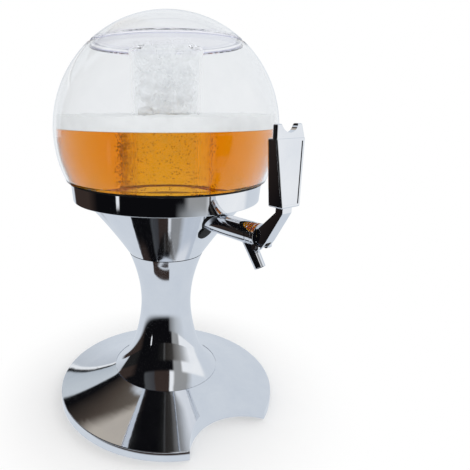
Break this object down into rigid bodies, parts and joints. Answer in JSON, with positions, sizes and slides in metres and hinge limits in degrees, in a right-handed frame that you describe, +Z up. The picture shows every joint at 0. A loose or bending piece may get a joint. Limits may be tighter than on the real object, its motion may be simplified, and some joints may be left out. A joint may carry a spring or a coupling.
{
  "type": "drink dispenser",
  "caption": "Table-top drink dispenser: clear ball tank with lid and lift-out ice tube on a chrome pedestal, with a lever tap over a bay for the glass.",
  "frame": {"origin": "centre of the round pad under the foot, on the table, on the axis of the neck", "axes": "+Z up along the neck's axis, the tap points to -Y, +X to the right seen from the tap's side"},
  "size_m": [0.2292, 0.2693, 0.384],
  "materials": {
    "chrome": "polished chrome plating",
    "clear_plastic": "clear moulded plastic",
    "rubber_black": "smooth black rubber",
    "seal_grey": "soft grey-blue silicone",
    "plastic_black": "matt black plastic",
    "steel": "plain steel",
    "cast_weight": "painted steel plate",
    "valve_brass": "turned brass"
  },
  "bodies": {
    "stand": {"foot_skirt": "chrome", "foot_base_plate": "plastic_black", "ballast_weight": "cast_weight", "rubber_feet": "rubber_black", "base_screws": "steel", "neck_column": "chrome", "neck_seal_ring": "rubber_black", "tie_rod": "steel", "tie_rod_nuts": "steel", "tie_rod_washers": "steel", "funnel_housing": "chrome", "collar_ring": "chrome", "collar_screws": "steel", "ball_seal": "rubber_black", "ball_tank": "clear_plastic", "tap_gasket": "rubber_black", "tap_inner_washer": "rubber_black", "tap_lock_nut": "plastic_black", "tap_body": "chrome", "spout_tube": "chrome", "tap_bonnet": "chrome", "stem_seal": "rubber_black", "return_spring": "steel", "lever_pin": "steel"},
    "ice_insert": {"ice_tube": "clear_plastic", "lid_gasket": "seal_grey"},
    "lid": {"dome_lid": "clear_plastic"},
    "plunger": {"valve_plunger": "valve_brass", "valve_seal": "rubber_black"},
    "lever": {"lever_arm": "chrome", "lever_paddle": "chrome"}
  },
  "joints": [
    {"name": "lever_hinge", "type": "hinge", "parent": "stand", "child": "lever", "pos_m": [0, -0.1308, 0.1989], "axis": [1, 0, 0], "range_deg": [0, 25], "stiffness_Nm_per_rad": 0.6, "springref_deg": -8.59},
    {"name": "plunger_slide", "type": "slide", "parent": "stand", "child": "plunger", "axis": [0, -1, 0], "range_m": [0, 0.0034], "deforming": ["return_spring"]},
    {"name": "ice_tube_lift", "type": "slide", "parent": "stand", "child": "ice_insert", "axis": [0, 0, 1], "range_m": [0, 0.16]},
    {"name": "dome_lid_lift", "type": "slide", "parent": "ice_insert", "child": "lid", "axis": [0, 0, 1], "range_m": [0, 0.08]}
  ],
  "couplings": [
    {"joint": "plunger_slide", "follows": "lever_hinge", "m_per_rad": 0.0076}
  ]
}
